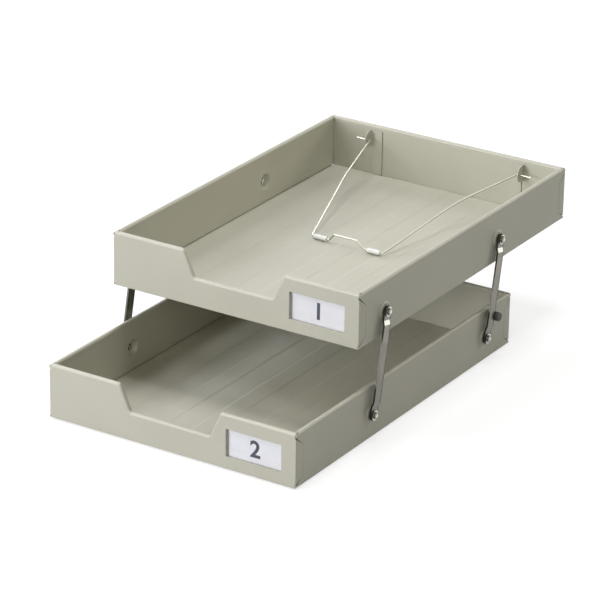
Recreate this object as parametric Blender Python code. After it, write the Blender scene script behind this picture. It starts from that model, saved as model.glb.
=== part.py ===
"""A steel letter tray stand: two trays joined by four swinging links, with a wire paper presser.

Metres, +Z up, the front towards -Y. The origin is on the desk, under the middle of the stand.
The stand is modelled open: the links lean back on their stoppers and hold the upper tray behind
and above the lower one. Each tray is built in its own frame, whose origin is under the middle of
that tray, at the lower edge of its walls.
"""

import math

import bmesh
import bpy
from mathutils import Vector

# Fits
clearance = 0.0003
overrun = 0.002

# Tray shell, folded from sheet: two skins make each wall, closed over the rim and open below
tray_width = 0.251
tray_length = 0.361
tray_height = 0.0502
sheet = 0.0008
rim_width = 0.0046
rim_radius = 0.0022
panel_foot_radius = 0.0009
foot_fold_radius = 0.0016
hem_gap = 0.00015
floor_lift = 0.0010
floor_step = 0.0012

# Shallow beads pressed down into the floor, along the tray
bead_count = 4
bead_pitch = 0.0415
bead_width = 0.0238
bead_depth = 0.0003
bead_slope = 0.0024

# Inner corners: a relief hole in the floor, a slot up the wall and a cut out of the panel's foot
relief_radius = 0.0012
corner_slot = 0.0004
corner_cut_width = 0.0046
corner_cut_height = 0.0022

# Crease under the rim, on the inner face of a back panel
crease_drop = 0.0028
crease_depth = 0.00035
crease_height = 0.0008

# Corner tabs of the front and back panels, which lie flush in a seat on the side walls
tab_depth = 0.0105
tab_top_inset = 0.0034
tab_bottom_inset = 0.0024
tab_top_drop = 0.0094
tab_bottom_rise = 0.0066
tab_bend_radius = 0.0008
seat_border = 0.0024

# Notch of the front panel
notch_centre = -0.0009
notch_top_half = 0.0512
notch_bottom_half = 0.0405
notch_floor = 0.0260
notch_radius = 0.0030

# Label window of the front panel, with its turned in frame and the card behind it
window_centre = 0.0835
window_middle = 0.0242
window_width = 0.0550
window_height = 0.0253
window_radius = 0.0008
window_frame_depth = 0.0023
window_frame_wall = 0.0008
card_thickness = 0.0005
card_margin = 0.0015

# Links and their pivots: places are measured from the front face and the lower edge of each tray
link_pitch = 0.0915
link_lean = math.radians(11.83)
link_width = 0.0102
link_thickness = 0.0016
link_joggle = 0.0013
link_joggle_run = 0.0040
link_flat_end = 0.0078
link_bend_radius = 0.0018
pivot_spacing = 0.1955
lower_pivot_place = 0.1183
lower_pivot_height = 0.0228
upper_pivot_place = 0.0411
upper_pivot_height = 0.0219

# Pressed boss outside and dish inside the side wall, at each pivot
boss_height = 0.0010
boss_foot_radius = 0.0088
boss_top_radius = 0.0066
dish_mouth_radius = 0.0078
dish_floor_radius = 0.0050

# Rivets and spacer washers
shank_radius = 0.0020
head_flange_radius = 0.0045
head_flange_thickness = 0.0006
head_dome_radius = 0.0034
head_dome_height = 0.0021
tail_radius = 0.0029
tail_thickness = 0.0010
washer_radius = 0.0045
washer_thickness = 0.0006

# Rubber stoppers on the lower tray, behind the rear links
stopper_radius = 0.0041
stopper_length = 0.0085
stopper_along_link = 0.0195
stopper_round = 0.0008
stopper_stem_radius = 0.0016
stopper_stem_reach = 0.0028

# Rubber feet under the lower tray
foot_drop = 0.0012
foot_radius = 0.0060
foot_round = 0.0008
foot_inset = 0.0200

# Wire presser of the upper tray, with two sleeves that rest on the floor
wire_radius = 0.00085
wire_bend_radius = 0.0020
elbow_radius = 0.1500
presser_axis_reach = 0.0073
presser_axis_height = 0.0375
presser_reach = 0.1641
presser_skew = math.radians(1.6)
presser_elbow_reach_left = 0.0616
presser_elbow_reach_right = 0.0619
presser_shift = 0.0028
presser_tip_left = 0.0115
presser_tip_right = 0.0120
presser_elbow_in_left = 0.0114
presser_elbow_in_right = 0.0268
presser_front_left = 0.0403
presser_front_right = 0.0349
hump_left_foot = 0.0220
hump_right_foot = 0.0155
hump_left_top = 0.0168
hump_right_top = 0.0073
hump_height = 0.0064
sleeve_radius = 0.0022
sleeve_length = 0.0132

# Presser brackets on the back panel
bracket_span = 0.1645
bracket_width = 0.0125
bracket_sheet = 0.0008
bracket_height = 0.0453
bracket_bend_radius = 0.0014
ear_reach = 0.0118
ear_drop = 0.0152
ear_round = 0.0070

# Facet counts
arc_steps = 3
rim_steps = 4
round_sides = 24
rivet_sides = 20
small_sides = 16

# Places that follow from the sizes above
half_width = tray_width / 2
half_length = tray_length / 2
inner_half_width = half_width - rim_width
floor_top = floor_lift + sheet
panel_inner_face = half_length - rim_width
panel_half_width = half_width - sheet - clearance
dish_floor = boss_height - 2 * sheet
washer_seat = boss_height + clearance
link_seat = washer_seat + washer_thickness + clearance
head_seat = link_seat + link_thickness + clearance
lean_back = link_pitch * math.sin(link_lean)
lean_rise = link_pitch * math.cos(link_lean)
tray_shift = lower_pivot_place + lean_back - upper_pivot_place
tray_rise = lower_pivot_height + lean_rise - upper_pivot_height
lower_origin = Vector((0, -tray_shift / 2, foot_drop))
upper_origin = lower_origin + Vector((0, tray_shift, tray_rise))
sides = (("left", -1), ("right", 1))
rows = ("front", "rear")


def steel_material(name, colour, roughness, metallic):
    material = bpy.data.materials.new(name)
    material.use_nodes = True
    shader = material.node_tree.nodes["Principled BSDF"]
    shader.inputs["Base Color"].default_value = (*colour, 1)
    shader.inputs["Roughness"].default_value = roughness
    shader.inputs["Metallic"].default_value = metallic
    return material


def finish(mesh_builder, name, material, parent, location, smooth=False):
    """Makes an object from a bmesh, with its faces pointing out."""
    bmesh.ops.recalc_face_normals(mesh_builder, faces=mesh_builder.faces[:])
    mesh = bpy.data.meshes.new(name)
    mesh_builder.to_mesh(mesh)
    mesh_builder.free()
    if smooth:
        mesh.shade_smooth()
        mesh.set_sharp_from_angle(angle=math.radians(35))
    piece = bpy.data.objects.new(name, mesh)
    if material:
        mesh.materials.append(material)
    bpy.context.collection.objects.link(piece)
    piece.parent = parent
    piece.location = location
    return piece


def rounded(points, radii, closed, steps=arc_steps):
    """Fillets the corners of a polyline. Points are vectors, and radii has one value a point."""
    result = []
    last = len(points) - 1
    for index, corner in enumerate(points):
        radius = radii[index]
        if radius == 0 or (not closed and index in (0, last)):
            result.append(corner.copy())
            continue
        before = (points[index - 1] - corner).normalized()
        after = (points[(index + 1) % len(points)] - corner).normalized()
        half = before.angle(after) / 2
        centre = corner + (before + after).normalized() * (radius / math.sin(half))
        start = corner + before * (radius / math.tan(half)) - centre
        end = corner + after * (radius / math.tan(half)) - centre
        sweep = start.angle(end)
        for step in range(steps + 1):
            share = step / steps
            blend = start * math.sin((1 - share) * sweep) + end * math.sin(share * sweep)
            result.append(centre + blend / math.sin(sweep))
    return result


def flat(points):
    """Turns pairs into vectors in the plane of an outline."""
    return [Vector((a, b, 0)) for a, b in points]


def moved_out(points, amount, closed):
    """Moves a polyline to its right hand side, with mitred corners."""
    result = []
    count = len(points)
    for index, point in enumerate(points):
        before = point - points[index - 1] if closed or index > 0 else None
        after = points[(index + 1) % count] - point if closed or index < count - 1 else None
        before = before or after
        after = after or before
        normal_before = Vector((before.y, -before.x, 0)).normalized()
        normal_after = Vector((after.y, -after.x, 0)).normalized()
        middle = (normal_before + normal_after).normalized()
        result.append(point + middle * (amount / middle.dot(normal_before)))
    return result


def prism(outline, axis, start, end, is_sheet=False):
    """A closed outline drawn out along an axis. Outlines are (x, y), (x, z) or (y, z)."""
    place = {
        "X": lambda point, along: (along, point.x, point.y),
        "Y": lambda point, along: (point.x, along, point.y),
        "Z": lambda point, along: (point.x, point.y, along),
    }[axis]
    mesh_builder = bmesh.new()
    near = [mesh_builder.verts.new(place(point, start)) for point in outline]
    far = [mesh_builder.verts.new(place(point, end)) for point in outline]
    for ring in (near, far):
        if is_sheet:
            for index in range(len(ring) // 2 - 1):
                pair = ring[-1 - index], ring[-2 - index]
                mesh_builder.faces.new((ring[index], ring[index + 1], pair[1], pair[0]))
        else:
            mesh_builder.faces.new(ring)
    for index in range(len(outline)):
        follower = (index + 1) % len(outline)
        mesh_builder.faces.new((near[index], near[follower], far[follower], far[index]))
    return mesh_builder


def folded_sheet(path, thickness, axis, start, end):
    """A sheet of this thickness whose middle follows the path, drawn out along an axis."""
    outer = moved_out(path, thickness / 2, False)
    inner = moved_out(path, -thickness / 2, False)
    return prism(outer + inner[::-1], axis, start, end, True)


def box(low, high):
    outline = flat(((low[0], low[1]), (high[0], low[1]), (high[0], high[1]), (low[0], high[1])))
    return prism(outline, "Z", low[2], high[2])


def turned(profile, axis, segments, flip=1):
    """A profile of (along, radius) pairs turned about an axis. Ends of radius 0 close to a point."""
    place = {
        "X": lambda along, one, two: (flip * along, one, two),
        "Z": lambda along, one, two: (one, two, flip * along),
    }[axis]
    mesh_builder = bmesh.new()
    rings = []
    for along, radius in profile:
        if radius == 0:
            rings.append([mesh_builder.verts.new(place(along, 0, 0))] * segments)
            continue
        angles = [2 * math.pi * index / segments for index in range(segments)]
        spots = [(radius * math.cos(angle), radius * math.sin(angle)) for angle in angles]
        rings.append([mesh_builder.verts.new(place(along, *spot)) for spot in spots])
    closed = profile[0][1] > 0 and profile[-1][1] > 0
    pairs = list(zip(rings, rings[1:]))
    if closed:
        pairs.append((rings[-1], rings[0]))
    for near, far in pairs:
        for index in range(segments):
            follower = (index + 1) % segments
            corners = [near[index], near[follower], far[follower], far[index]]
            mesh_builder.faces.new(list(dict.fromkeys(corners)))
    return mesh_builder


def disc(start, end, start_radius, end_radius, axis, segments, flip=1):
    """A solid cone or cylinder along an axis."""
    profile = ((start, 0), (start, start_radius), (end, end_radius), (end, 0))
    return turned(profile, axis, segments, flip)


def joined(builders):
    """Puts separate closed shapes into one bmesh."""
    whole = builders[0]
    for other in builders[1:]:
        spare = bpy.data.meshes.new("spare")
        other.to_mesh(spare)
        other.free()
        whole.from_mesh(spare)
        bpy.data.meshes.remove(spare)
    return whole


def shifted(mesh_builder, offset):
    bmesh.ops.translate(mesh_builder, verts=mesh_builder.verts[:], vec=offset)
    return mesh_builder


def combine(piece, mesh_builder, operation, name):
    """Adds an exact Boolean with a hidden helper shape, placed in the piece's own frame."""
    helper = finish(mesh_builder, f"{piece.name}_{name}", None, piece, Vector((0, 0, 0)))
    helper.hide_render = True
    helper.display_type = "WIRE"
    change = piece.modifiers.new(name, "BOOLEAN")
    change.operation = operation
    change.solver = "EXACT"
    change.object = helper
    return helper


def axis_empty(name, parent, location):
    empty = bpy.data.objects.new(name, None)
    bpy.context.collection.objects.link(empty)
    empty.parent = parent
    empty.location = location
    return empty


def floor_middle_line():
    """Half of the floor's middle line, from the right wall to the centre, with its beads."""
    level = floor_lift + sheet / 2
    line = []
    for index in range(bead_count):
        centre = (index - (bead_count - 1) / 2) * bead_pitch
        low = level - bead_depth
        for side, first, second in ((-1, level, low), (1, low, level)):
            edge = centre + side * bead_width / 2
            line.append((edge - bead_slope / 2, first))
            line.append((edge + bead_slope / 2, second))
    return line


def pan_path():
    """Middle line across a tray: both double walls and the beaded floor, in one folded sheet."""
    inner_skin = inner_half_width + sheet / 2
    outer_skin = half_width - sheet / 2
    top = tray_height - sheet / 2
    bottom = sheet / 2
    level = floor_lift + sheet / 2
    rim = rim_radius - sheet / 2
    fold = foot_fold_radius - sheet / 2
    step = inner_skin - floor_step
    wall = (
        (inner_skin, floor_top + hem_gap, 0),
        (inner_skin, top, rim),
        (outer_skin, top, rim),
        (outer_skin, bottom, fold),
        (inner_skin, bottom, 0),
        (step, level, 0),
    )
    right = [(across, up, radius) for across, up, radius in wall]
    left = [(-across, up, radius) for across, up, radius in wall[::-1]]
    beads = [(across, up, 0) for across, up in floor_middle_line()[::-1]]
    points = right + beads + left
    radii = [point[2] for point in points]
    return rounded(flat([point[:2] for point in points]), radii, False, rim_steps)


def tab_outline(margin):
    """Corner tab on a side wall, as (y, z) at the front of the tray, grown by a margin."""
    front = -half_length
    high = tray_height - tab_top_inset
    points = (
        (front, tab_bottom_inset),
        (front + tab_depth, tab_bottom_inset + tab_bottom_rise),
        (front + tab_depth, high - tab_top_drop),
        (front, high),
    )
    return moved_out(flat(points), margin, True)


def mirrored(outline, end):
    """The same (y, z) outline at the front (-1) or the back (1) of a tray."""
    return [Vector((-end * point.x, point.y, 0)) for point in outline]


def pivot_places(first):
    """Front and rear pivot places along a tray, in its own frame."""
    return (first - half_length, first + pivot_spacing - half_length)


def build_pan(name, parent, material, pivot_place, pivot_height, with_stoppers):
    """Floor and side walls of a tray, with tab seats, bosses and dishes for the link rivets."""
    reach = panel_inner_face - clearance
    shell = folded_sheet(pan_path(), sheet, "Y", -half_length, half_length)
    pan = finish(shell, name, material, parent, Vector((0, 0, 0)))
    rooms = []
    room = half_width - sheet * 7 / 8
    for low, high in ((-half_length - overrun, -reach), (reach, half_length + overrun)):
        rooms.append(box((-room, low, -overrun), (room, high, tray_height + overrun)))
    combine(pan, joined(rooms), "DIFFERENCE", "panel_rooms")
    seats = []
    pockets = []
    for _, side in sides:
        for end in (-1, 1):
            seat = mirrored(tab_outline(seat_border), end)
            pocket = mirrored(tab_outline(clearance), end)
            deep = side * (half_width - sheet - clearance - sheet)
            bite = side * (half_width - sheet / 2)
            seats.append(prism(seat, "X", deep, bite))
            floor = side * (half_width - sheet - clearance)
            pockets.append(prism(pocket, "X", floor, side * (half_width + overrun)))
    trim_end = reach - clearance
    seat_trim = box(
        (-half_width - overrun, -trim_end, 0), (half_width + overrun, trim_end, tray_height)
    )
    seat_helper = combine(pan, joined(seats), "UNION", "seats")
    combine(seat_helper, seat_trim, "INTERSECT", "trim")
    combine(pan, joined(pockets), "DIFFERENCE", "pockets")

    bosses = []
    dishes = []
    inner_face = -rim_width
    bite = sheet / 4
    for _, side in sides:
        for place in pivot_places(pivot_place):
            spot = Vector((side * half_width, place, pivot_height))
            profile = (
                (inner_face + bite, 0),
                (inner_face + bite, dish_mouth_radius + sheet),
                (-sheet + bite, dish_floor_radius + sheet),
                (-sheet + bite, boss_foot_radius),
                (-bite, boss_foot_radius),
                (boss_height, boss_top_radius),
                (boss_height, 0),
            )
            bosses.append(shifted(turned(profile, "X", round_sides, side), spot))
            slope = (dish_mouth_radius - dish_floor_radius) / (dish_floor - inner_face)
            mouth = dish_mouth_radius + slope * overrun
            bore = shank_radius + clearance
            cut = (
                (inner_face - overrun, 0),
                (inner_face - overrun, mouth),
                (dish_floor, dish_floor_radius),
                (dish_floor, bore),
                (boss_height + overrun, bore),
                (boss_height + overrun, 0),
            )
            dishes.append(shifted(turned(cut, "X", round_sides, side), spot))
    combine(pan, joined(bosses), "UNION", "bosses")
    combine(pan, joined(dishes), "DIFFERENCE", "dishes")

    holes = []
    slots = []
    for _, side in sides:
        for end in (-1, 1):
            spot = Vector((side * inner_half_width, end * reach, 0))
            drill = disc(-overrun, floor_top + overrun, relief_radius, relief_radius, "Z", small_sides)
            holes.append(shifted(drill, spot))
            skin = inner_half_width + sheet + clearance
            across = sorted((side * (inner_half_width - overrun), side * skin))
            along = sorted((end * (reach - corner_slot), end * (reach + overrun)))
            slots.append(
                box((across[0], along[0], floor_top + overrun / 2),
                    (across[1], along[1], tray_height - rim_radius))
            )
        if with_stoppers:
            bore = stopper_stem_radius + clearance
            drill = disc(-stopper_stem_reach, overrun, bore, bore, "X", small_sides, side)
            holes.append(shifted(drill, stopper_spot(side)))
    combine(pan, joined(holes), "DIFFERENCE", "holes")
    combine(pan, joined(slots), "DIFFERENCE", "corner_slots")
    return pan


def stopper_spot(side):
    """Centre of a stopper on the wall's outer face, beside the rear link where it leans."""
    beside = link_width / 2 + clearance + stopper_radius
    back = stopper_along_link * math.sin(link_lean) + beside * math.cos(link_lean)
    rise = stopper_along_link * math.cos(link_lean) - beside * math.sin(link_lean)
    rear = pivot_places(lower_pivot_place)[1]
    return Vector((side * half_width, rear + back, lower_pivot_height + rise))


def panel_outline(with_notch):
    """Front view of a panel as (x, z), anticlockwise, with its notch if it has one."""
    edge = panel_half_width
    points = [(-edge, 0, 0), (edge, 0, 0), (edge, tray_height, 0)]
    if with_notch:
        points += [
            (notch_centre + notch_top_half, tray_height, notch_radius),
            (notch_centre + notch_bottom_half, notch_floor, notch_radius),
            (notch_centre - notch_bottom_half, notch_floor, notch_radius),
            (notch_centre - notch_top_half, tray_height, notch_radius),
        ]
    points.append((-edge, tray_height, 0))
    return rounded(flat([point[:2] for point in points]), [point[2] for point in points], True)


def soften(panel, is_chosen, radius, segments):
    """Rounds the edges that the test picks by their two ends."""
    bmesh.ops.recalc_face_normals(panel, faces=panel.faces[:])
    chosen = [edge for edge in panel.edges if is_chosen(*[vertex.co for vertex in edge.verts])]
    bmesh.ops.bevel(
        panel, geom=chosen, offset=radius, segments=segments, profile=0.5, affect="EDGES",
        clamp_overlap=False,
    )


def is_rim(one, other):
    """True for an edge along the rim of a panel or its notch, on either face."""
    tiny = clearance / 3
    upright = abs(one.x - other.x) < tiny and abs(one.x) > panel_half_width - tiny
    return abs(one.y - other.y) < tiny and not upright and max(one.z, other.z) > sheet + tiny


def is_front_foot(one, other):
    return max(one.y, other.y) < clearance - half_length and max(one.z, other.z) < clearance


def rounded_panel(with_notch):
    """Solid panel at the front of the tray, its rim and its lower front edge rounded."""
    front = -half_length
    panel = prism(panel_outline(with_notch), "Y", front, front + rim_width)
    soften(panel, is_rim, rim_radius - clearance, arc_steps)
    soften(panel, is_front_foot, panel_foot_radius, arc_steps)
    return panel


def window_outline(margin):
    low = window_middle - window_height / 2
    high = window_middle + window_height / 2
    left = window_centre - window_width / 2
    right = window_centre + window_width / 2
    corners = flat(((left, low), (right, low), (right, high), (left, high)))
    radii = [window_radius] * len(corners)
    return moved_out(rounded(corners, radii, True), margin, True)


def panel_hollow(with_notch):
    """Space between the two skins of a panel, open at both ends."""
    front = -half_length
    opened = moved_out(panel_outline(with_notch), -sheet, True)
    for point in opened:
        if abs(point.x) > panel_half_width - 2 * sheet:
            point.x = math.copysign(panel_half_width + overrun, point.x)
    hollow = prism(opened, "Y", front + sheet, front + rim_width - sheet)
    soften(hollow, is_rim, rim_radius - clearance - sheet, 1)
    return hollow


def build_panel(name, parent, material, end, with_notch):
    """Front (-1) or back (1) panel of a tray, double skinned, with its two corner tabs."""
    front = -half_length
    panel = finish(rounded_panel(with_notch), name, material, parent, Vector((0, 0, 0)))
    hollow = combine(panel, panel_hollow(with_notch), "DIFFERENCE", "hollow")
    if with_notch:
        frame = prism(window_outline(window_frame_wall), "Y", front, front + window_frame_depth)
        combine(hollow, frame, "DIFFERENCE", "frame")
        ledge_top = window_middle - window_height / 2 - card_margin - clearance
        ledge = box(
            (window_centre - window_width / 2, front, ledge_top - window_frame_wall),
            (window_centre + window_width / 2, front + rim_width, ledge_top),
        )
        combine(hollow, ledge, "DIFFERENCE", "ledge")
        opening = prism(window_outline(0), "Y", front - overrun, front + window_frame_depth + clearance)
        combine(panel, opening, "DIFFERENCE", "window")
    tabs = []
    shapes = []
    root = panel_half_width - 2 * sheet
    for _, side in sides:
        plan = (
            (side * root, front),
            (side * half_width, front),
            (side * half_width, front + tab_depth),
            (side * (half_width - sheet), front + tab_depth),
            (side * (half_width - sheet), front + sheet),
            (side * root, front + sheet),
        )
        bends = (0, tab_bend_radius, 0, 0, tab_bend_radius - sheet, 0)
        tabs.append(prism(rounded(flat(plan), bends, True), "Z", 0, tray_height))
        shape = tab_outline(0)
        for point in shape:
            if point.x < front + tab_depth / 2:
                point.x -= overrun
        shapes.append(prism(shape, "X", side * (root - overrun), side * (half_width + overrun)))
    tab_helper = combine(panel, joined(tabs), "UNION", "tabs")
    combine(tab_helper, joined(shapes), "INTERSECT", "shape")
    cuts = []
    for _, side in sides:
        cut_start = panel_half_width - corner_cut_width
        across = sorted((side * cut_start, side * (panel_half_width + overrun)))
        cuts.append(
            box((across[0], front + 2 * sheet, -overrun),
                (across[1], front + rim_width + overrun, corner_cut_height))
        )
    combine(panel, joined(cuts), "DIFFERENCE", "corner_cuts")
    if end > 0:
        face = front + rim_width
        middle = tray_height - crease_drop
        crease = flat((
            (face - crease_depth, middle),
            (face + crease_depth, middle - crease_height),
            (face + crease_depth, middle + crease_height),
        ))
        reach = panel_half_width + overrun
        combine(panel, prism(crease, "X", -reach, reach), "DIFFERENCE", "crease")
        panel.rotation_euler.z = math.pi
    return panel


def build_card(name, parent, material):
    """Paper label card between the window frame and the inner skin of a front panel."""
    back = -half_length + rim_width - sheet - clearance
    card = box(
        (window_centre - window_width / 2 - card_margin, back - card_thickness,
         window_middle - window_height / 2 - card_margin),
        (window_centre + window_width / 2 + card_margin, back,
         window_middle + window_height / 2 + card_margin),
    )
    return finish(card, name, material, parent, Vector((0, 0, 0)))


def build_rivet(name, parent, material, side, place, height):
    """Shouldered rivet: peened tail in the dish, shank through wall and link, domed head."""
    seat = dish_floor - clearance
    tail_edge = tail_thickness / 3
    dome = []
    for step in range(arc_steps):
        angle = math.pi / 2 * step / arc_steps
        rise = head_flange_thickness + head_dome_height * math.sin(angle)
        dome.append((head_seat + rise, head_dome_radius * math.cos(angle)))
    profile = [
        (seat - tail_thickness, 0),
        (seat - tail_thickness, tail_radius - tail_edge),
        (seat - tail_edge, tail_radius),
        (seat, tail_radius),
        (seat, shank_radius),
        (head_seat, shank_radius),
        (head_seat, head_flange_radius),
        (head_seat + head_flange_thickness, head_flange_radius),
        *dome,
        (head_seat + head_flange_thickness + head_dome_height, 0),
    ]
    spot = Vector((side * half_width, place, height))
    return finish(turned(profile, "X", rivet_sides, side), name, material, parent, spot, True)


def build_washer(name, parent, material, side, place, height):
    bore = shank_radius + clearance
    profile = (
        (washer_seat, bore),
        (washer_seat, washer_radius),
        (washer_seat + washer_thickness, washer_radius),
        (washer_seat + washer_thickness, bore),
    )
    spot = Vector((side * half_width, place, height))
    return finish(turned(profile, "X", rivet_sides, side), name, material, parent, spot, True)


def build_link(name, parent, material, side, place):
    """Flat steel link, joggled clear of the walls between its ends, hinged at its lower pivot."""
    near = link_seat + link_thickness / 2
    far = near + link_joggle
    ramp_end = link_flat_end + link_joggle_run
    spare = link_width
    points = (
        (near, -spare),
        (near, link_flat_end),
        (far, ramp_end),
        (far, link_pitch - ramp_end),
        (near, link_pitch - link_flat_end),
        (near, link_pitch + spare),
    )
    bends = [link_bend_radius] * len(points)
    path = rounded(flat([(side * across, up) for across, up in points]), bends, False)
    strip = folded_sheet(path, link_thickness, "Y", -link_width / 2, link_width / 2)
    spot = Vector((side * half_width, place, lower_pivot_height))
    link = finish(strip, name, material, parent, spot)
    link.rotation_euler.x = -link_lean

    half = link_width / 2
    ends = []
    for centre, turn in ((0, math.pi), (link_pitch, 0)):
        for step in range(small_sides // 2 + 1):
            angle = turn + math.pi * step / (small_sides // 2)
            ends.append((half * math.cos(angle), centre + half * math.sin(angle)))
    outer = side * (far + link_thickness + overrun)
    combine(link, prism(flat(ends), "X", 0, outer), "INTERSECT", "rounded_ends")
    bore = shank_radius + clearance
    bores = []
    for centre in (0, link_pitch):
        drill = disc(0, far + link_thickness + overrun, bore, bore, "X", small_sides, side)
        bores.append(shifted(drill, Vector((0, 0, centre))))
    combine(link, joined(bores), "DIFFERENCE", "bores")
    return link


def build_stopper(name, parent, material, side):
    """Rubber bumper with a stem pushed into the outer skin of the wall."""
    profile = (
        (-stopper_stem_reach + clearance, 0),
        (-stopper_stem_reach + clearance, stopper_stem_radius),
        (clearance, stopper_stem_radius),
        (clearance, stopper_radius),
        (stopper_length - stopper_round, stopper_radius),
        (stopper_length, stopper_radius - stopper_round),
        (stopper_length, 0),
    )
    return finish(
        turned(profile, "X", round_sides, side), name, material, parent, stopper_spot(side), True
    )


def build_foot(name, parent, material, side, end):
    profile = (
        (-foot_drop, 0),
        (-foot_drop, foot_radius - foot_round),
        (-foot_drop + foot_round, foot_radius),
        (floor_lift - clearance, foot_radius),
        (floor_lift - clearance, 0),
    )
    spot = Vector((side * (half_width - foot_inset), end * (half_length - foot_inset), 0))
    return finish(turned(profile, "Z", round_sides), name, material, parent, spot, True)


def presser_front_height():
    """Height of the wire's front bar over the presser's axis, its sleeves on the floor."""
    return floor_top + clearance + sleeve_radius - presser_axis_height


def presser_route():
    """Corners of the wire from its left tip to its right tip, about its axis, with their radii."""
    drop = presser_front_height()
    left = presser_shift - bracket_span / 2 + bracket_sheet
    right = presser_shift + bracket_span / 2 - bracket_sheet
    turn = wire_bend_radius + clearance

    def elbow(across, reach):
        return Vector((across, -reach, drop * reach / presser_reach))

    def bar(along, rise=0):
        skewed = presser_reach + along * math.sin(presser_skew)
        return Vector((presser_shift + along * math.cos(presser_skew), -skewed, drop + rise))

    return [
        (Vector((left - bracket_sheet - presser_tip_left, 0, 0)), 0),
        (Vector((left + turn, 0, 0)), wire_bend_radius),
        (elbow(left + turn + presser_elbow_in_left, presser_elbow_reach_left), elbow_radius),
        (bar(-presser_front_left), wire_bend_radius),
        (bar(-hump_left_foot), wire_bend_radius),
        (bar(-hump_left_top, hump_height), wire_bend_radius),
        (bar(hump_right_top, hump_height), wire_bend_radius),
        (bar(hump_right_foot), wire_bend_radius),
        (bar(presser_front_right), wire_bend_radius),
        (elbow(right - turn - presser_elbow_in_right, presser_elbow_reach_right), elbow_radius),
        (Vector((right - turn, 0, 0)), wire_bend_radius),
        (Vector((right + bracket_sheet + presser_tip_right, 0, 0)), 0),
    ]


def build_wire(parent, material):
    corners, radii = zip(*presser_route())
    middle = rounded(corners, radii, False)
    curve = bpy.data.curves.new("presser_wire", "CURVE")
    curve.dimensions = "3D"
    curve.bevel_depth = wire_radius
    curve.bevel_resolution = 2
    curve.use_fill_caps = True
    spline = curve.splines.new("POLY")
    spline.points.add(len(middle) - 1)
    for point, place in zip(spline.points, middle):
        point.co = (*place, 1)
    curve.materials.append(material)
    wire = bpy.data.objects.new("presser_wire", curve)
    bpy.context.collection.objects.link(wire)
    wire.parent = parent
    return wire


def build_sleeve(name, parent, material, side):
    """Plastic sleeve on the wire's front bar, next to its corner."""
    bore = wire_radius + clearance
    corner = presser_front_left if side < 0 else presser_front_right
    start = corner - wire_bend_radius - clearance
    profile = (
        (start - sleeve_length, bore),
        (start - sleeve_length, sleeve_radius),
        (start, sleeve_radius),
        (start, bore),
    )
    spot = Vector((presser_shift, -presser_reach, presser_front_height()))
    sleeve = finish(turned(profile, "X", small_sides, side), name, material, parent, spot, True)
    sleeve.rotation_euler.z = -presser_skew
    return sleeve


def build_bracket(name, parent, material, side):
    """Sheet strip on the back panel, whose outer edge is bent forward into an ear for the wire."""
    back = panel_inner_face - clearance
    outer = bracket_span / 2 - bracket_sheet / 2
    middle = back - bracket_sheet / 2
    plan = (
        (side * (outer + bracket_sheet / 2 - bracket_width), middle),
        (side * outer, middle),
        (side * outer, back - ear_reach),
    )
    bends = [bracket_bend_radius] * len(plan)
    path = rounded(flat(plan), bends, False, arc_steps + 1)
    ear_low = bracket_height - ear_drop
    ear = folded_sheet(path, bracket_sheet, "Z", ear_low, bracket_height)
    tip = back - ear_reach
    tiny = clearance / 3
    corners = []
    for edge in ear.edges:
        ends = [vertex.co for vertex in edge.verts]
        if all(abs(point.y - tip) < tiny for point in ends) and abs(ends[0].z - ends[1].z) < tiny:
            corners.append(edge)
    bmesh.ops.bevel(
        ear, geom=corners, offset=ear_round, segments=arc_steps, profile=0.5, affect="EDGES",
        clamp_overlap=True,
    )
    spot = Vector((presser_shift, 0, 0))
    bracket = finish(ear, name, material, parent, spot)
    strip_outer = outer - bracket_bend_radius
    strip = box(
        (min(side * strip_outer, side * (outer + bracket_sheet / 2 - bracket_width)),
         back - bracket_sheet, floor_top + clearance),
        (max(side * strip_outer, side * (outer + bracket_sheet / 2 - bracket_width)),
         back, bracket_height),
    )
    combine(bracket, strip, "UNION", "strip")
    bore = wire_radius + clearance
    drill = disc(outer - sheet - overrun, outer + sheet + overrun, bore, bore, "X", small_sides, side)
    axis = Vector((0, panel_inner_face - presser_axis_reach, presser_axis_height))
    combine(bracket, shifted(drill, axis), "DIFFERENCE", "bore")
    return bracket


def build_tray(tier, origin, parent, materials, pivot_place, pivot_height):
    """All pieces fixed to one tray. The parent empty may sit elsewhere than the tray's origin."""
    frame = axis_empty(f"{tier}_tray_frame", parent, origin)
    paint = materials["paint"]
    build_pan(f"{tier}_pan", frame, paint, pivot_place, pivot_height, tier == "lower")
    build_panel(f"{tier}_front_panel", frame, paint, -1, True)
    build_panel(f"{tier}_back_panel", frame, paint, 1, False)
    build_card(f"{tier}_label_card", frame, materials["card"])
    for side_name, side in sides:
        for row, place in zip(rows, pivot_places(pivot_place)):
            spot = (side, place, pivot_height)
            build_rivet(f"{tier}_rivet_{row}_{side_name}", frame, materials["rivet"], *spot)
            build_washer(f"{tier}_washer_{row}_{side_name}", frame, materials["rivet"], *spot)
    return frame


def make_materials():
    return {
        "paint": steel_material("painted_steel", (0.51, 0.50, 0.41), 0.45, 0),
        "card": steel_material("label_card", (0.78, 0.78, 0.83), 0.7, 0),
        "rivet": steel_material("plated_steel", (0.72, 0.70, 0.66), 0.18, 1),
        "link": steel_material("polished_steel", (0.52, 0.50, 0.47), 0.3, 1),
        "wire": steel_material("steel_wire", (0.62, 0.60, 0.54), 0.25, 1),
        "sleeve": steel_material("white_plastic", (0.78, 0.79, 0.76), 0.4, 0),
        "rubber": steel_material("dark_rubber", (0.06, 0.06, 0.06), 0.8, 0),
    }


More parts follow.
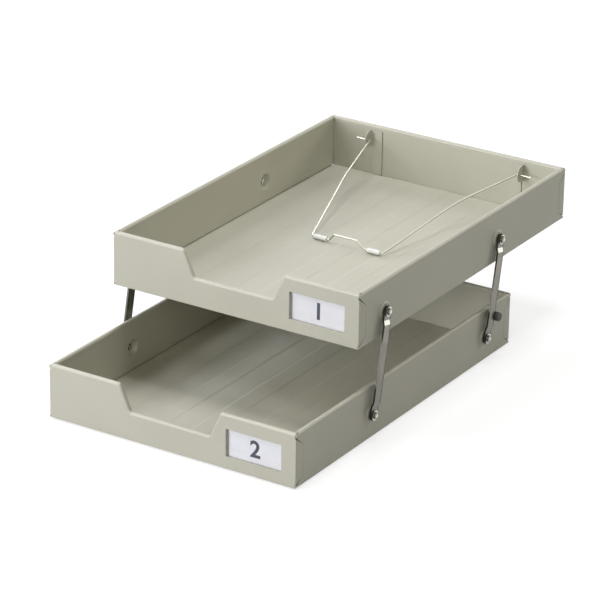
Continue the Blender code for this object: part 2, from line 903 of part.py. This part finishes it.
def build_stand():
    materials = make_materials()
    stand = axis_empty("stand", None, Vector((0, 0, 0)))
    lower = build_tray(
        "lower", lower_origin, stand, materials, lower_pivot_place, lower_pivot_height
    )
    for side_name, side in sides:
        build_stopper(f"stopper_{side_name}", lower, materials["rubber"], side)
        for row, end in zip(rows, (-1, 1)):
            build_foot(f"foot_{row}_{side_name}", lower, materials["rubber"], side, end)
        for row, place in zip(rows, pivot_places(lower_pivot_place)):
            build_link(f"link_{row}_{side_name}", lower, materials["link"], side, place)

    rear_pivot = pivot_places(upper_pivot_place)[1]
    carrier = upper_origin + Vector((half_width, rear_pivot, upper_pivot_height))
    upper_axis = axis_empty("upper_tray_axis", stand, carrier)
    upper = build_tray(
        "upper", upper_origin - carrier, upper_axis, materials, upper_pivot_place, upper_pivot_height
    )
    for side_name, side in sides:
        build_bracket(f"presser_bracket_{side_name}", upper, materials["paint"], side)
    presser_spot = Vector((0, panel_inner_face - presser_axis_reach, presser_axis_height))
    presser = axis_empty("presser_axis", upper, presser_spot)
    build_wire(presser, materials["wire"])
    for side_name, side in sides:
        build_sleeve(f"presser_sleeve_{side_name}", presser, materials["sleeve"], side)


def clear_scene():
    for item in list(bpy.data.objects):
        bpy.data.objects.remove(item, do_unlink=True)


clear_scene()
build_stand()
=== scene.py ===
"""The looks of a two-tier letter tray stand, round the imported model.

It gives the nodes of the model their materials, prints a number on each label card, and adds the
floor, the lamps and the camera. All shapes but the numbers come from the model. Metres, in the
frame of the model: +Z up, the front towards -Y.
"""

import math

import bpy
from mathutils import Matrix, Vector


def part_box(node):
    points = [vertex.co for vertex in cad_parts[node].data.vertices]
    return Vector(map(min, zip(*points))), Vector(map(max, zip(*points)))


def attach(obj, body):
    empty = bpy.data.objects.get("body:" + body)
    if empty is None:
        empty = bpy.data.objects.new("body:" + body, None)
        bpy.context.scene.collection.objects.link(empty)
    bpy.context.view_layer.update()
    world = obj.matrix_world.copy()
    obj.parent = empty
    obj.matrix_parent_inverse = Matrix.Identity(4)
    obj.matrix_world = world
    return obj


# Camera, fitted to the photograph
camera_place = (1.45019, -2.34433, 1.24130)
picture_right = (0.8442, 0.5358, 0.0147)
picture_down = (0.2224, -0.3251, -0.9192)
camera_lens = 202.8
camera_sensor = 36.0
camera_clip = (0.05, 30.0)

# Light. Each lamp: degrees round from the front towards the right, degrees up, how light a
# white card that faces it gets from it alone, its size and its tint.
lamp_distance = 2.6
soft_box = 0.8
small_box = 0.35
cool = (0.985, 0.99, 1.03)
warm = (1.0, 0.98, 0.885)
lamps = {
    "overhead": (0, 90, 0.45, soft_box, cool),
    "front_low": (-26, 12, 0.59, soft_box, cool),
    "front_high": (-45, 50, 0.26, soft_box, cool),
    "left_behind": (-120, 30, 0.44, soft_box, cool),
    "right_behind": (150, 24, 0.22, soft_box, warm),
    "right_front": (30, 32, 0.14, soft_box, warm),
    "right_side": (80, 38, 0.07, small_box, warm),
}

# Background. The sky lights nothing, and both sky and floor are seen white. The floor glows
# more between the two distances of floor_far, beyond which the lamps don't reach.
white = (1, 1, 1, 1)
sky_light = 0.0
sky_seen = 1.0
floor_half_width = 6.0
floor_grey = 0.4
floor_glow = 0.7
floor_far_glow = 1.1
floor_far = (0.8, 1.7)

# Directions of a piece
right = (1, 0, 0)
up = (0, 0, 1)
down = (0, 0, -1)

# Noise in the materials. A scale is in waves per metre. A spread is the two noise values
# between which a blend goes over.
coarse_detail = 1.0
plain_detail = 2.0
fine_detail = 3.0
cloud_spread = (0.35, 0.65)
grain_spread = (0.30, 0.70)

# Paint of the trays and brackets
paint_colour = (0.500, 0.490, 0.404)
paint_shade = (0.478, 0.468, 0.384)
# Paler colour of the rubbed edges, also a painted highlight on the rims
paint_worn_and_highlight = (0.605, 0.598, 0.550)
paint_roughness = (0.38, 0.50)
paint_cloud_scale = 14.0
speckle_scale = 2600.0
speckle_spread = (0.55, 0.80)
speckle_share = 0.5
peel_scale = 900.0
peel_strength = 0.35
peel_distance = 0.00003
rub_scale = 60.0
rub_share = (0.1, 0.7)
paint_edge_radius = 0.0005
paint_edge_bend = (0.03, 0.25)

# Metals. A turn is the dot product of a face's normal with a direction.
metal_cloud_scale = 90.0
metal_cloud_spread = (0.35, 0.70)
metal_grain_spread = (0.35, 0.75)
metal_grain_share = 0.8
metal_bump_strength = 0.4
metal_bump_distance = 0.00001
metal_edge_radius = 0.00025
# Painted dark reflection on the rivet flanks and the rear edges of the links
painted_dark_reflection = (0.030, 0.028, 0.023)

# Nickel of the rivets and washers, with a painted dark reflection on their sloping flanks
nickel_colour = (0.72, 0.70, 0.65)
nickel_shade = (0.56, 0.54, 0.49)
nickel_roughness = (0.14, 0.24)
nickel_grain = 1500.0
nickel_flank_reflection_turn = (0.93, 0.80)

# Polished steel of the links: a painted highlight on the joggles that face up and painted shade on
# those that face down, painted shade on the narrow sides, a painted dark reflection on the rear
# edges, and the flats get darker towards the foot
link_lean = math.radians(11.83)
link_colour = (0.280, 0.270, 0.230)
link_shade = (0.195, 0.187, 0.158)
link_foot = (0.172, 0.166, 0.140)
link_foot_heights = (0.85, 0.10)
link_painted_highlight = (0.80, 0.78, 0.70)
link_painted_shade = (0.16, 0.15, 0.13)
link_side_painted_shade = (0.07, 0.067, 0.057)
link_roughness = (0.22, 0.34)
link_grain = 2500.0
link_grain_stretch = (1, 1, 0.02)
link_joggle_turn = (0.12, 0.24)
link_side_turn = (0.80, 0.50)
link_edge_turn = (0.03, 0.16)
link_edge_radius = 0.0022

# Plated wire of the presser, with painted shade on its sides and underside
wire_colour = (0.76, 0.745, 0.66)
wire_shade = (0.64, 0.625, 0.54)
wire_side_painted_shade = (0.34, 0.33, 0.28)
wire_underside_painted_shade = (0.28, 0.27, 0.225)
wire_roughness = (0.28, 0.38)
wire_grain = 1800.0
wire_metallic = 0.5
wire_side_turn = (0.78, 0.97)
wire_underside_turn = (0.25, -0.20)

# Card, plastic, rubber and ink
matt_cloud_scale = 120.0
matt_bump_strength = 0.5
underside_turn = (0.3, 0.7)
card_colour = (0.78, 0.78, 0.815)
card_shade = (0.75, 0.75, 0.785)
card_roughness = (0.70, 0.85)
card_grain = 3000.0
card_bump = 0.00002
plastic_colour = (0.86, 0.87, 0.84)
plastic_shade = (0.80, 0.81, 0.78)
# Painted shade on the undersides of the sleeves
plastic_underside_painted_shade = (0.45, 0.45, 0.42)
plastic_roughness = (0.3, 0.4)
plastic_grain = 800.0
plastic_bump = 0.00001
rubber_colour = (0.10, 0.10, 0.095)
rubber_shade = (0.07, 0.07, 0.066)
rubber_roughness = (0.6, 0.8)
rubber_grain = 1500.0
rubber_bump = 0.00004
ink_colour = (0.043, 0.050, 0.075)
ink_faded = (0.060, 0.068, 0.095)
ink_roughness = (0.5, 0.6)
ink_grain = 2000.0
ink_bump = 0.00001

# Numbers on the label cards
number_height = 0.0148
number_thickness = 0.00006
number_weight = 0.00048
digit_height_share = 0.69


def add_node(tree, kind, inputs=None, **settings):
    """Adds a shader node, sets it up, and joins or fills its inputs."""
    made = tree.nodes.new(kind)
    for name, value in settings.items():
        setattr(made, name, value)
    for key, value in (inputs or {}).items():
        if isinstance(value, bpy.types.NodeSocket):
            tree.links.new(value, made.inputs[key])
        else:
            made.inputs[key].default_value = value
    return made


def empty_material(name):
    """A material with no nodes yet."""
    material = bpy.data.materials.new(name)
    material.use_nodes = True
    material.node_tree.nodes.clear()
    return material, material.node_tree


def coordinates(tree, kind):
    """A place or a direction in the piece's own coordinates."""
    return add_node(tree, "ShaderNodeTexCoord").outputs[kind]


def noise(tree, place, scale, detail=plain_detail):
    return add_node(
        tree, "ShaderNodeTexNoise", {"Vector": place, "Scale": scale, "Detail": detail},
    ).outputs["Fac"]


def ranged(tree, value, spread, low=0.0, high=1.0):
    """Goes from low to high while a value goes through a spread."""
    return add_node(
        tree, "ShaderNodeMapRange", {0: value, 1: spread[0], 2: spread[1], 3: low, 4: high},
    ).outputs[0]


def blended(tree, share, first, second):
    """One colour going over into another."""
    mix = add_node(tree, "ShaderNodeMix", data_type="RGBA")
    for socket, value in zip((mix.inputs[0], mix.inputs[6], mix.inputs[7]), (share, first, second)):
        if isinstance(value, bpy.types.NodeSocket):
            tree.links.new(value, socket)
        elif isinstance(value, tuple):
            socket.default_value = (*value, 1)
        else:
            socket.default_value = value
    return mix.outputs[2]


def arithmetic(tree, operation, *values):
    return add_node(
        tree, "ShaderNodeMath", dict(enumerate(values)), operation=operation,
    ).outputs[0]


def dotted(tree, first, second):
    """The dot product of two vectors."""
    return add_node(
        tree, "ShaderNodeVectorMath", {0: first, 1: second}, operation="DOT_PRODUCT",
    ).outputs["Value"]


def rounded_normal(tree, radius, samples=6):
    """The normal as it would be if the edges were rounded."""
    return add_node(tree, "ShaderNodeBevel", {"Radius": radius}, samples=samples).outputs[0]


def bumped(tree, strength, distance, height, normal=None):
    inputs = {"Strength": strength, "Distance": distance, "Height": height}
    if normal:
        inputs["Normal"] = normal
    return add_node(tree, "ShaderNodeBump", inputs).outputs[0]


def facing(tree, normal, direction, turn, both_ways=False):
    """Goes from 0 to 1 as a normal turns towards a direction."""
    dot = dotted(tree, normal, direction)
    if both_ways:
        dot = arithmetic(tree, "ABSOLUTE", dot)
    return ranged(tree, dot, turn)


def finish_material(tree, colour, roughness, normal, metallic=0.0):
    shader = add_node(
        tree, "ShaderNodeBsdfPrincipled",
        {"Base Color": colour, "Metallic": metallic, "Roughness": roughness, "Normal": normal},
    )
    add_node(tree, "ShaderNodeOutputMaterial", {"Surface": shader.outputs[0]})


def paint():
    """Baked satin paint on sheet steel: a fine orange peel, and edges rubbed a little paler, which
    is also a painted highlight on the rims.
    """
    material, tree = empty_material("satin_paint")
    place = coordinates(tree, "Object")
    cloud = noise(tree, place, paint_cloud_scale)
    peel = noise(tree, place, peel_scale, fine_detail)
    speckle = noise(tree, place, speckle_scale, coarse_detail)
    colour = blended(tree, ranged(tree, cloud, cloud_spread), paint_colour, paint_shade)
    speckled = ranged(tree, speckle, speckle_spread, 0.0, speckle_share)
    colour = blended(tree, speckled, colour, paint_shade)
    soft = rounded_normal(tree, paint_edge_radius)
    true = add_node(tree, "ShaderNodeNewGeometry").outputs["True Normal"]
    bend = arithmetic(tree, "SUBTRACT", 1.0, dotted(tree, soft, true))
    edge = ranged(tree, bend, paint_edge_bend)
    patches = ranged(tree, noise(tree, place, rub_scale), grain_spread, *rub_share)
    # Paler edges in patches: rubbed wear, and a painted highlight on the rims
    colour = blended(tree, arithmetic(tree, "MULTIPLY", edge, patches), colour, paint_worn_and_highlight)
    finish_material(
        tree, colour, ranged(tree, peel, grain_spread, *paint_roughness),
        bumped(tree, peel_strength, peel_distance, peel, soft),
    )
    return material


def metal(
    name, colour, shade, roughness, grain,
    accents=(), edge=None, foot=None, metallic=1.0, lean=0.0, stretch=(1, 1, 1),
):
    """Bare or plated steel, whose grain can be drawn out along a leaning line.

    An accent paints light or shade on the faces that turn a given way: it is a direction of the
    piece, the turn through which its colour takes over, whether the opposite direction counts too,
    and its colour. An edge paints light or shade on rounded edges that face a direction: it is a
    rounding radius, a direction, a turn and a colour. A foot is a colour that takes over downwards.
    """
    material, tree = empty_material(name)
    place = coordinates(tree, "Object")
    drawn = add_node(
        tree, "ShaderNodeMapping", {"Vector": place, "Rotation": (-lean, 0, 0), "Scale": stretch},
    ).outputs[0]
    fine = noise(tree, drawn, grain, fine_detail)
    cloud = noise(tree, place, metal_cloud_scale)
    mixed = blended(tree, ranged(tree, cloud, metal_cloud_spread), colour, shade)
    grained = ranged(tree, fine, metal_grain_spread, 0.0, metal_grain_share)
    mixed = blended(tree, grained, mixed, shade)
    if foot:
        generated = coordinates(tree, "Generated")
        height = add_node(tree, "ShaderNodeSeparateXYZ", {0: generated}).outputs["Z"]
        mixed = blended(tree, ranged(tree, height, link_foot_heights), mixed, foot)
    normal = coordinates(tree, "Normal")
    for direction, turn, both_ways, accent in accents:
        mixed = blended(tree, facing(tree, normal, direction, turn, both_ways), mixed, accent)
    if edge:
        radius, direction, turn, accent = edge
        own = add_node(
            tree, "ShaderNodeVectorTransform", {"Vector": rounded_normal(tree, radius, 8)},
            vector_type="NORMAL", convert_from="WORLD", convert_to="OBJECT",
        ).outputs[0]
        mixed = blended(tree, facing(tree, own, direction, turn), mixed, accent)
    soft = rounded_normal(tree, metal_edge_radius)
    finish_material(
        tree, mixed, ranged(tree, fine, grain_spread, *roughness),
        bumped(tree, metal_bump_strength, metal_bump_distance, fine, soft), metallic,
    )
    return material


def matt(name, colour, shade, roughness, grain, bump_distance, underside=None):
    """Card, plastic, rubber or ink: a plain colour with a fine grain, and painted shade in another
    colour underneath.
    """
    material, tree = empty_material(name)
    place = coordinates(tree, "Object")
    fine = noise(tree, place, grain, fine_detail)
    cloud = noise(tree, place, matt_cloud_scale)
    mixed = blended(tree, ranged(tree, cloud, cloud_spread), colour, shade)
    if underside:
        # Painted shade on the faces that turn down
        beneath = facing(tree, coordinates(tree, "Normal"), down, underside_turn)
        mixed = blended(tree, beneath, mixed, underside)
    finish_material(
        tree, mixed, ranged(tree, fine, grain_spread, *roughness),
        bumped(tree, matt_bump_strength, bump_distance, fine),
    )
    return material


def nickel():
    return metal(
        "nickel_plate", nickel_colour, nickel_shade, nickel_roughness, nickel_grain,
        # Painted dark reflection on the sloping flanks
        accents=((right, nickel_flank_reflection_turn, True, painted_dark_reflection),),
    )


def link_steel():
    along = (0, math.sin(link_lean), math.cos(link_lean))
    against = tuple(-value for value in along)
    behind = (0, math.cos(link_lean), -math.sin(link_lean))
    return metal(
        "polished_link", link_colour, link_shade, link_roughness, link_grain,
        accents=(
            # Painted highlight on the joggles facing up, painted shade on those facing down
            (along, link_joggle_turn, False, link_painted_highlight),
            (against, link_joggle_turn, False, link_painted_shade),
            # Painted shade on the narrow sides
            (right, link_side_turn, True, link_side_painted_shade),
        ),
        # Painted dark reflection on the rounded rear edges
        edge=(link_edge_radius, behind, link_edge_turn, painted_dark_reflection),
        foot=link_foot, lean=link_lean, stretch=link_grain_stretch,
    )


def wire_steel():
    return metal(
        "wire_plate", wire_colour, wire_shade, wire_roughness, wire_grain,
        accents=(
            # Painted shade on the sides and the underside
            (right, wire_side_turn, True, wire_side_painted_shade),
            (up, wire_underside_turn, False, wire_underside_painted_shade),
        ),
        metallic=wire_metallic,
    )


def card():
    return matt("card", card_colour, card_shade, card_roughness, card_grain, card_bump)


def plastic():
    return matt(
        "white_plastic", plastic_colour, plastic_shade, plastic_roughness, plastic_grain,
        plastic_bump, plastic_underside_painted_shade,
    )


def rubber():
    return matt("rubber", rubber_colour, rubber_shade, rubber_roughness, rubber_grain, rubber_bump)


def ink():
    return matt("ink", ink_colour, ink_faded, ink_roughness, ink_grain, ink_bump)


def dress(nodes):
    """Gives every node of the model the material of the word in its name."""
    makers = (
        (paint, ("pan", "panel", "bracket")),
        (nickel, ("rivet", "washer")),
        (link_steel, ("link",)),
        (wire_steel, ("wire",)),
        (card, ("card",)),
        (plastic, ("sleeve",)),
        (rubber, ("foot", "stopper")),
    )
    for make, words in makers:
        material = make()
        for name, thing in nodes.items():
            if any(word in name for word in words):
                for slot in thing.material_slots:
                    slot.material = material


def build_number(text, card_name, body, material):
    """A plain number, printed on the middle of a label card."""
    low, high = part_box(card_name)
    curve = bpy.data.curves.new("number", "FONT")
    curve.body = text
    curve.size = number_height / digit_height_share
    curve.offset = number_weight
    curve.extrude = number_thickness / 2
    curve.align_x = "CENTER"
    shaped = bpy.data.objects.new("number", curve)
    bpy.context.collection.objects.link(shaped)
    bpy.context.view_layer.update()
    evaluated = shaped.evaluated_get(bpy.context.evaluated_depsgraph_get())
    mesh = bpy.data.meshes.new_from_object(evaluated)
    bpy.data.objects.remove(shaped)
    mesh.transform(Matrix.Rotation(math.radians(90), 4, "X"))
    corners = [vertex.co for vertex in mesh.vertices]
    middle = (Vector(map(min, *corners)) + Vector(map(max, *corners))) / 2
    place = Vector(((low.x + high.x) / 2, low.y, (low.z + high.z) / 2))
    mesh.transform(Matrix.Translation(place - middle))
    mesh.materials.clear()
    mesh.materials.append(material)
    number = bpy.data.objects.new(card_name.replace("card", "number"), mesh)
    bpy.context.collection.objects.link(number)
    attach(number, body)


def seen_share(tree):
    """1 for the rays that show the background: from the camera, off gloss and through glass."""
    path = add_node(tree, "ShaderNodeLightPath")
    share = path.outputs["Is Camera Ray"]
    for name in ("Is Glossy Ray", "Is Transmission Ray"):
        share = arithmetic(tree, "MAXIMUM", share, path.outputs[name])
    return share


def build_world():
    world = bpy.data.worlds.new("studio")
    bpy.context.scene.world = world
    world.use_nodes = True
    tree = world.node_tree
    tree.nodes.clear()
    sky = add_node(tree, "ShaderNodeBackground", {"Color": white, "Strength": sky_light})
    seen = add_node(tree, "ShaderNodeBackground", {"Color": white, "Strength": sky_seen})
    mix = add_node(
        tree, "ShaderNodeMixShader", {0: seen_share(tree), 1: sky.outputs[0], 2: seen.outputs[0]},
    )
    add_node(tree, "ShaderNodeOutputWorld", {"Surface": mix.outputs[0]})


def floor_material():
    """White to look at, grey to light, and clear from below."""
    material, tree = empty_material("floor_white")
    grey = (floor_grey, floor_grey, floor_grey, 1)
    sheet = add_node(tree, "ShaderNodeBsdfDiffuse", {"Color": grey})
    place = coordinates(tree, "Object")
    away = add_node(tree, "ShaderNodeVectorMath", {0: place}, operation="LENGTH").outputs["Value"]
    wanted = ranged(tree, away, floor_far, floor_glow, floor_far_glow)
    glow = arithmetic(tree, "MULTIPLY", seen_share(tree), wanted)
    lit = add_node(tree, "ShaderNodeEmission", {"Color": white, "Strength": glow})
    both = add_node(tree, "ShaderNodeAddShader", {0: sheet.outputs[0], 1: lit.outputs[0]})
    clear = add_node(tree, "ShaderNodeBsdfTransparent")
    behind = add_node(tree, "ShaderNodeNewGeometry").outputs["Backfacing"]
    mix = add_node(
        tree, "ShaderNodeMixShader", {0: behind, 1: both.outputs[0], 2: clear.outputs[0]},
    )
    add_node(tree, "ShaderNodeOutputMaterial", {"Surface": mix.outputs[0]})
    return material


def build_floor():
    """A sheet under the stand that keeps its shadow."""
    half = floor_half_width
    mesh = bpy.data.meshes.new("floor")
    corners = [(-half, -half, 0), (half, -half, 0), (half, half, 0), (-half, half, 0)]
    mesh.from_pydata(corners, [], [(0, 1, 2, 3)])
    mesh.materials.append(floor_material())
    floor = bpy.data.objects.new("floor", mesh)
    bpy.context.collection.objects.link(floor)


def build_lamp(name, azimuth, elevation, strength, size, tint):
    """A square lamp that points at the middle of the stand."""
    lamp = bpy.data.lights.new(name, "AREA")
    lamp.shape = "SQUARE"
    lamp.size = size
    lamp.color = tint
    lamp.energy = strength * (math.pi * lamp_distance) ** 2
    lamp_object = bpy.data.objects.new(name, lamp)
    bpy.context.collection.objects.link(lamp_object)
    across = math.radians(azimuth)
    raised = math.radians(elevation)
    level = math.cos(raised)
    way = Vector((level * math.sin(across), -level * math.cos(across), math.sin(raised)))
    lamp_object.location = way * lamp_distance
    lamp_object.rotation_mode = "QUATERNION"
    lamp_object.rotation_quaternion = (-way).to_track_quat("-Z", "Y")


def build_camera():
    camera = bpy.data.cameras.new("camera")
    camera.lens = camera_lens
    camera.sensor_width = camera_sensor
    camera.clip_start, camera.clip_end = camera_clip
    camera_object = bpy.data.objects.new("camera", camera)
    bpy.context.collection.objects.link(camera_object)
    across = Vector(picture_right).normalized()
    lowered = Vector(picture_down)
    lowered = (lowered - across * lowered.dot(across)).normalized()
    ahead = across.cross(lowered)
    turn = Matrix((across, -lowered, -ahead)).transposed()
    camera_object.matrix_world = Matrix.Translation(camera_place) @ turn.to_4x4()
    bpy.context.scene.camera = camera_object


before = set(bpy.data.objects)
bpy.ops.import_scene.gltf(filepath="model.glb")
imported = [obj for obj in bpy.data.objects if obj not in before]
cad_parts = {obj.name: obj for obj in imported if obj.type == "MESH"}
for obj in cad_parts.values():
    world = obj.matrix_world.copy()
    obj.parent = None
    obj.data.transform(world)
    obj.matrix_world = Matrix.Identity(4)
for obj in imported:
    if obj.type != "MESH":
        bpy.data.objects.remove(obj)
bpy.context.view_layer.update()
bpy.context.scene.view_settings.view_transform = "Standard"
dress(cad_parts)
printed = ink()
build_number("1", "upper_label_card", "upper_tray", printed)
build_number("2", "lower_label_card", "lower_tray", printed)
build_world()
build_floor()
for lamp_name, lamp_values in lamps.items():
    build_lamp(lamp_name, *lamp_values)
build_camera()
